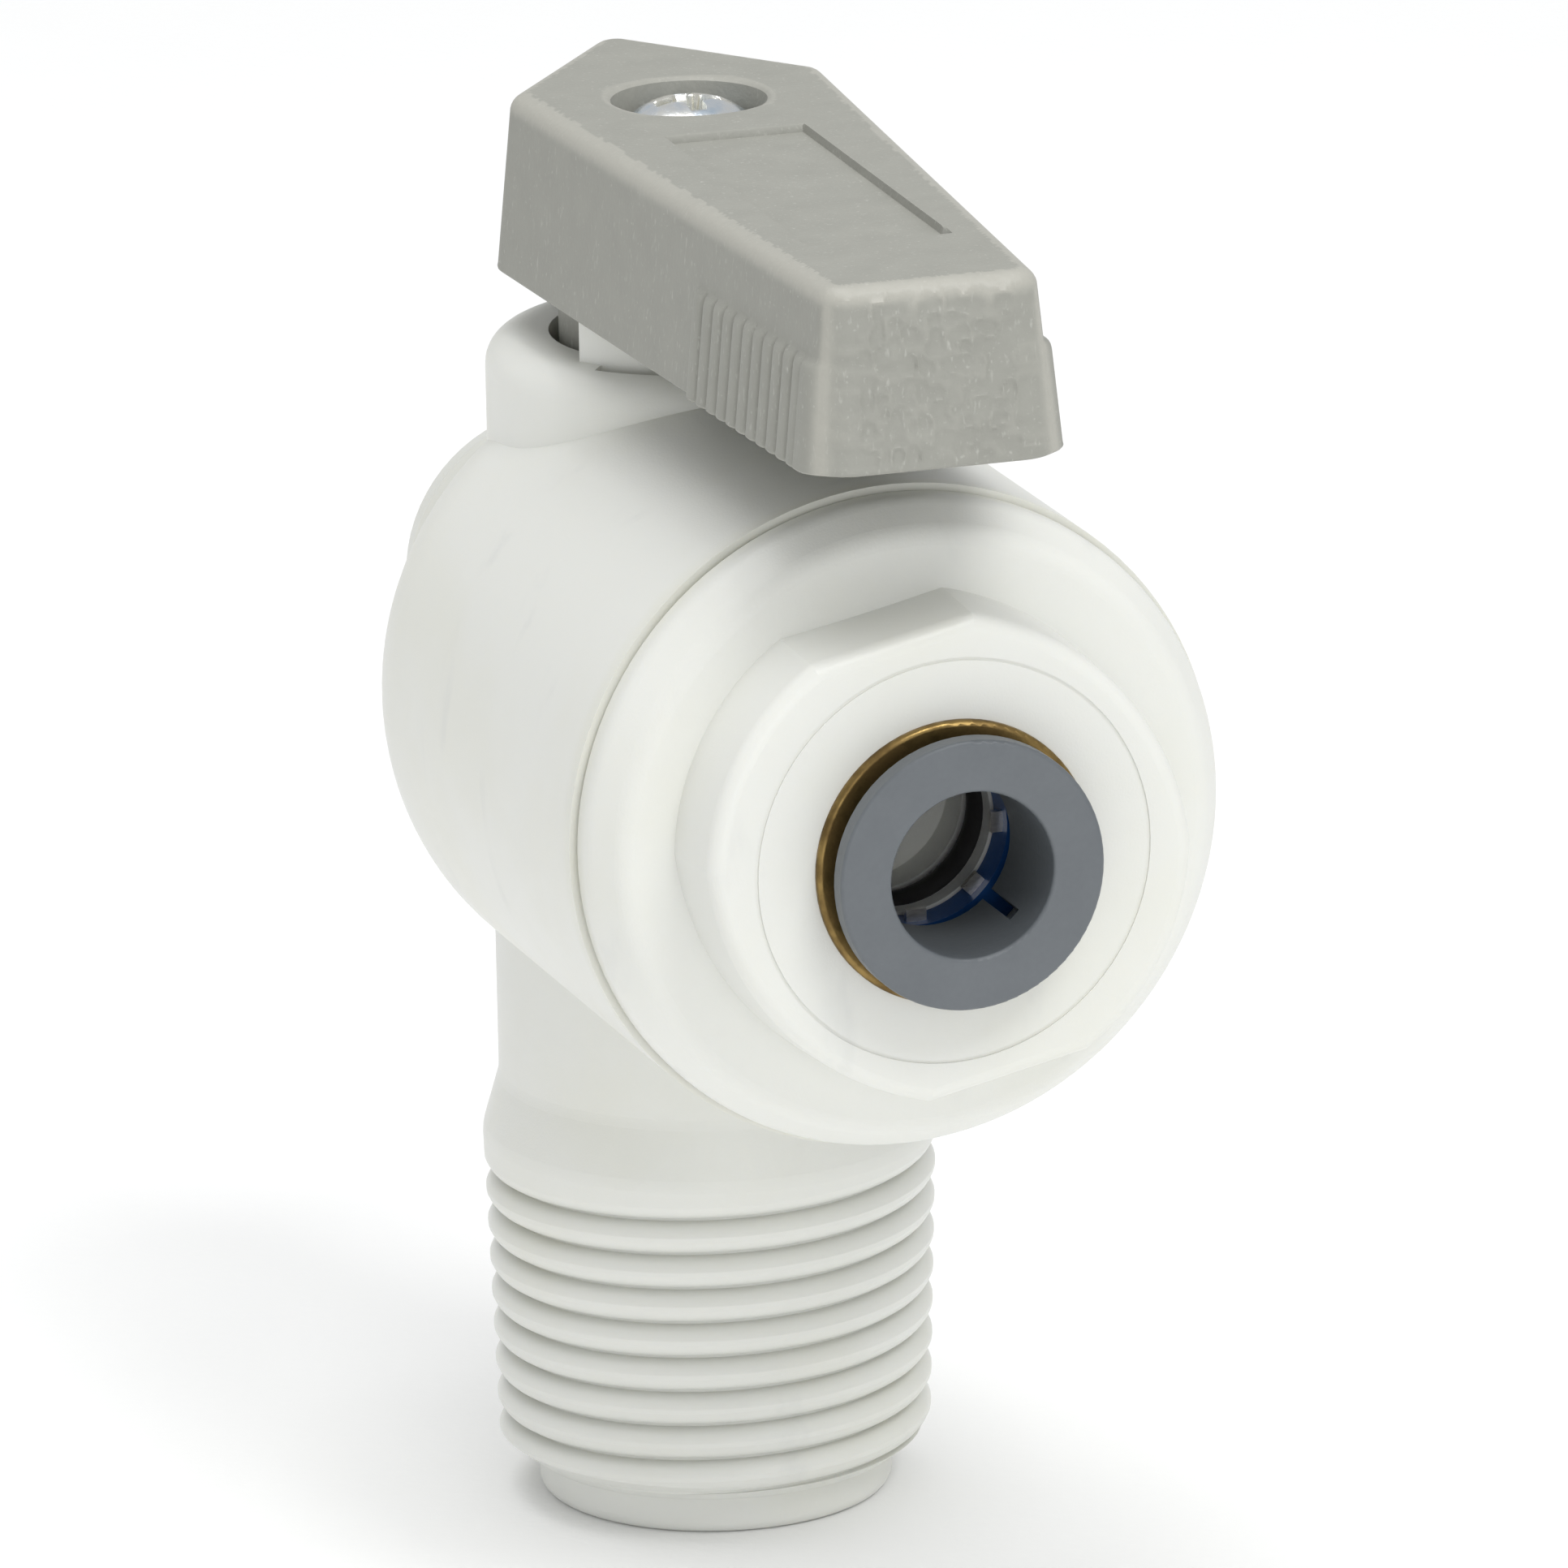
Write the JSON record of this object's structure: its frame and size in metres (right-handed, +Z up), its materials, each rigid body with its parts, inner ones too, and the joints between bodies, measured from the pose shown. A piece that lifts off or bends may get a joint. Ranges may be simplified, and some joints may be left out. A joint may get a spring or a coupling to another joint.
{
  "type": "three way valve",
  "caption": "Compact moulded ball valve with a tapered male pipe thread below, push-in tube ports at front and rear, and a lever on top that turns half a turn between them.",
  "frame": {"origin": "centre of the male connection's bottom face", "axes": "+Z up through the thread and the stem, -Y out of the front tube port, +Y out of the rear tube port"},
  "size_m": [0.0256, 0.0506, 0.056],
  "materials": {
    "white_plastic": "satin moulded acetal, faint grain",
    "lever_plastic": "textured grey moulding",
    "zinc_plated_steel": "bright zinc plate",
    "aged_brass": "dull aged brass",
    "collet_plastic": "smooth grey-blue moulding",
    "gripper_plastic": "blue moulding",
    "spring_steel": "bright stamped strip",
    "black_rubber": "moulded nitrile",
    "seat_plastic": "turned white fluoroplastic",
    "ball_plastic": "smooth moulded ball",
    "backup_plastic": "plain moulded washer"
  },
  "bodies": {
    "housing": {"valve_body": "white_plastic", "front_cap": "white_plastic", "cap_oring": "black_rubber", "seat_front": "seat_plastic", "seat_rear": "seat_plastic", "seat_oring_front": "black_rubber", "seat_oring_rear": "black_rubber", "front_retaining_ring": "aged_brass", "front_gripper_ring": "gripper_plastic", "front_gripper_teeth": "spring_steel", "front_backup_washer": "backup_plastic", "front_tube_oring": "black_rubber", "rear_retaining_ring": "aged_brass", "rear_gripper_ring": "gripper_plastic", "rear_gripper_teeth": "spring_steel", "rear_backup_washer": "backup_plastic", "rear_tube_oring": "black_rubber"},
    "rotor": {"handle": "lever_plastic", "handle_screw": "zinc_plated_steel", "stem": "ball_plastic", "ball": "ball_plastic", "stem_thrust_washer": "seat_plastic", "stem_oring_lower": "black_rubber", "stem_oring_upper": "black_rubber"},
    "front_collet": {"front_release_collet": "collet_plastic"},
    "rear_collet": {"rear_release_collet": "collet_plastic"}
  },
  "joints": [
    {"name": "handle_turn", "type": "hinge", "parent": "housing", "child": "rotor", "pos_m": [0, 0, 0.0331], "axis": [0, 0, 1], "range_deg": [0, 184.6]},
    {"name": "front_collet_push", "type": "slide", "parent": "housing", "child": "front_collet", "axis": [0, 1, 0], "range_m": [0, 0.0008], "stiffness_N_per_m": 1000},
    {"name": "rear_collet_push", "type": "slide", "parent": "housing", "child": "rear_collet", "axis": [0, -1, 0], "range_m": [0, 0.0008], "stiffness_N_per_m": 1000}
  ]
}
